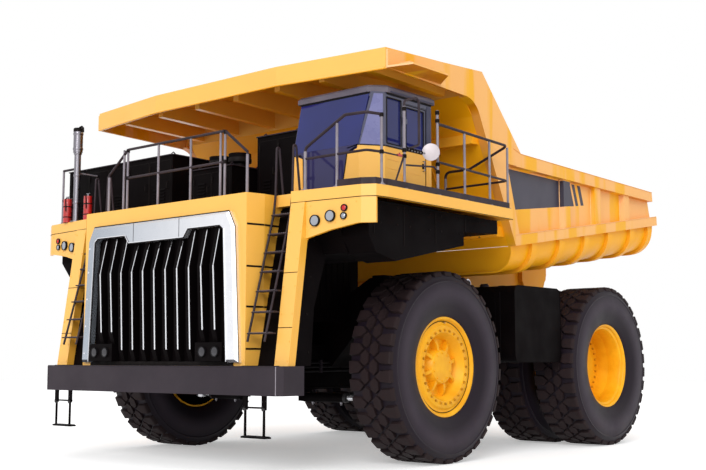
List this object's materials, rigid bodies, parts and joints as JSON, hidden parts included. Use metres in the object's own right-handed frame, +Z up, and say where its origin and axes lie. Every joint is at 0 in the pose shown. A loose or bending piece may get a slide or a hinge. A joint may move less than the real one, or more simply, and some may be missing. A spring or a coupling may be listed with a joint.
{
  "type": "rigid mining dump truck",
  "caption": "Rigid mining dump truck with steered front wheels, twin rear wheels, tipping bed with canopy, side cab, decks, ladders and hoist cylinders.",
  "frame": {"origin": "centre of the overall box on the ground", "axes": "+X to the truck's own left, front towards -Y, +Z up"},
  "size_m": [7.94, 10.682, 6.47],
  "materials": {
    "yellow": "gloss",
    "black": "satin",
    "dark": "satin",
    "rail": "satin",
    "red": "gloss",
    "rim": "satin",
    "iron": "rough",
    "steel": "brushed",
    "chrome": "polished",
    "glass": "clear",
    "mirror": "polished",
    "trim": "matte",
    "lamp": "clear",
    "tyre": "matte"
  },
  "bodies": {
    "chassis": {"chassis_rail_left": "black", "chassis_rail_right": "black", "cross_members": "black", "front_bumper": "dark", "bumper_steps": "black", "engine_block": "iron", "front_struts": "black", "rear_axle_housing": "iron", "hood": "yellow", "grille_surround": "chrome", "grille_bars": "black", "deck": "yellow", "front_columns": "yellow", "fender_boxes": "black", "cab_shell": "yellow", "cab_roof": "dark", "cab_glass": "glass", "cab_interior": "trim", "deck_cabinets": "black", "deck_mirror": "mirror", "corner_stack": "steel", "extinguishers": "red", "lamps": "lamp", "fuel_tank": "black", "hydraulic_tank": "black", "handrails": "rail", "ladders": "rail"},
    "bed": {"bed_floor": "yellow", "bed_front_wall": "yellow", "bed_side_left": "yellow", "bed_side_right": "yellow", "bed_canopy": "yellow"},
    "cab_door_leaf": {"cab_door": "yellow", "door_glass": "glass"},
    "tie_rod_bar": {"tie_rod": "iron"},
    "knuckle_left_body": {"knuckle_left": "iron"},
    "front_wheel_left": {"front_tyre_left": "tyre", "front_rim_left": "rim"},
    "rear_wheels_left": {"rear_tyres_left": "tyre", "rear_rims_left": "rim"},
    "steering_barrel_left_body": {"steering_barrel_left": "black"},
    "steering_rod_left_body": {"steering_rod_left": "chrome"},
    "hoist_barrel_left_body": {"hoist_barrel_left": "black"},
    "hoist_stage_left_body": {"hoist_stage_left": "chrome"},
    "hoist_rod_left_body": {"hoist_rod_left": "chrome"},
    "knuckle_right_body": {"knuckle_right": "iron"},
    "front_wheel_right": {"front_tyre_right": "tyre", "front_rim_right": "rim"},
    "rear_wheels_right": {"rear_tyres_right": "tyre", "rear_rims_right": "rim"},
    "steering_barrel_right_body": {"steering_barrel_right": "black"},
    "steering_rod_right_body": {"steering_rod_right": "chrome"},
    "hoist_barrel_right_body": {"hoist_barrel_right": "black"},
    "hoist_stage_right_body": {"hoist_stage_right": "chrome"},
    "hoist_rod_right_body": {"hoist_rod_right": "chrome"}
  },
  "joints": [
    {"name": "steer_left", "type": "hinge", "parent": "chassis", "child": "knuckle_left_body", "pos_m": [2, -2.02, 1.53], "axis": [0, 0, 1], "range_deg": [-30, 30]},
    {"name": "front_wheel_spin_left", "type": "hinge", "parent": "knuckle_left_body", "child": "front_wheel_left", "pos_m": [2.955, -2.02, 1.53], "axis": [1, 0, 0], "continuous": true},
    {"name": "rear_wheels_spin_left", "type": "hinge", "parent": "chassis", "child": "rear_wheels_left", "pos_m": [2.485, 3.23, 1.53], "axis": [1, 0, 0], "continuous": true},
    {"name": "steering_barrel_pivot_left", "type": "hinge", "parent": "chassis", "child": "steering_barrel_left_body", "pos_m": [0.75, -2.62, 1.01], "axis": [0, 0, 1], "range_deg": [-1.8, 1.8]},
    {"name": "steering_rod_slide_left", "type": "slide", "parent": "steering_barrel_left_body", "child": "steering_rod_left_body", "axis": [0.9929, 0.1191, 0], "range_m": [-0.2225, 0.2225]},
    {"name": "hoist_barrel_pivot_left", "type": "hinge", "parent": "chassis", "child": "hoist_barrel_left_body", "pos_m": [1.29, -0.02, 1.3], "axis": [1, 0, 0], "range_deg": [0, 7.6]},
    {"name": "hoist_stage_slide_left", "type": "slide", "parent": "hoist_barrel_left_body", "child": "hoist_stage_left_body", "axis": [0, 0.636, 0.7717], "range_m": [0, 1.12]},
    {"name": "hoist_rod_slide_left", "type": "slide", "parent": "hoist_stage_left_body", "child": "hoist_rod_left_body", "axis": [0, 0.636, 0.7717], "range_m": [0, 1.12]},
    {"name": "steer_right", "type": "hinge", "parent": "chassis", "child": "knuckle_right_body", "pos_m": [-2, -2.02, 1.53], "axis": [0, 0, 1], "range_deg": [-30, 30]},
    {"name": "front_wheel_spin_right", "type": "hinge", "parent": "knuckle_right_body", "child": "front_wheel_right", "pos_m": [-2.955, -2.02, 1.53], "axis": [1, 0, 0], "continuous": true},
    {"name": "rear_wheels_spin_right", "type": "hinge", "parent": "chassis", "child": "rear_wheels_right", "pos_m": [-2.485, 3.23, 1.53], "axis": [1, 0, 0], "continuous": true},
    {"name": "steering_barrel_pivot_right", "type": "hinge", "parent": "chassis", "child": "steering_barrel_right_body", "pos_m": [-0.75, -2.62, 1.01], "axis": [0, 0, 1], "range_deg": [-1.8, 1.8]},
    {"name": "steering_rod_slide_right", "type": "slide", "parent": "steering_barrel_right_body", "child": "steering_rod_right_body", "axis": [-0.9929, 0.1191, 0], "range_m": [-0.2225, 0.2225]},
    {"name": "hoist_barrel_pivot_right", "type": "hinge", "parent": "chassis", "child": "hoist_barrel_right_body", "pos_m": [-1.29, -0.02, 1.3], "axis": [1, 0, 0], "range_deg": [0, 7.6]},
    {"name": "hoist_stage_slide_right", "type": "slide", "parent": "hoist_barrel_right_body", "child": "hoist_stage_right_body", "axis": [0, 0.636, 0.7717], "range_m": [0, 1.12]},
    {"name": "hoist_rod_slide_right", "type": "slide", "parent": "hoist_stage_right_body", "child": "hoist_rod_right_body", "axis": [0, 0.636, 0.7717], "range_m": [0, 1.12]},
    {"name": "tie_rod_pivot", "type": "hinge", "parent": "knuckle_left_body", "child": "tie_rod_bar", "pos_m": [2, -1.26, 1.01], "axis": [0, 0, 1], "range_deg": [-30, 30]},
    {"name": "bed_tip", "type": "hinge", "parent": "chassis", "child": "bed", "pos_m": [0, 4.38, 2.78], "axis": [-1, 0, 0], "range_deg": [0, 45]},
    {"name": "cab_door_hinge", "type": "hinge", "parent": "chassis", "child": "cab_door_leaf", "pos_m": [3.324, -3.097, 4.9], "axis": [0, 0, -1], "range_deg": [0, 70]}
  ],
  "couplings": [
    {"joint": "steering_barrel_pivot_left", "follows": "steer_left", "ratio": -0.058},
    {"joint": "steering_rod_slide_left", "follows": "steer_left", "m_per_rad": 0.4236},
    {"joint": "hoist_barrel_pivot_left", "follows": "bed_tip", "ratio": 0.165},
    {"joint": "hoist_stage_slide_left", "follows": "bed_tip", "m_per_rad": 1.411},
    {"joint": "hoist_rod_slide_left", "follows": "bed_tip", "m_per_rad": 1.411},
    {"joint": "steering_barrel_pivot_right", "follows": "steer_left", "ratio": -0.058},
    {"joint": "steering_rod_slide_right", "follows": "steer_left", "m_per_rad": -0.4236},
    {"joint": "hoist_barrel_pivot_right", "follows": "bed_tip", "ratio": 0.165},
    {"joint": "hoist_stage_slide_right", "follows": "bed_tip", "m_per_rad": 1.411},
    {"joint": "hoist_rod_slide_right", "follows": "bed_tip", "m_per_rad": 1.411},
    {"joint": "steer_right", "follows": "steer_left", "ratio": 1},
    {"joint": "tie_rod_pivot", "follows": "steer_left", "ratio": -1}
  ]
}
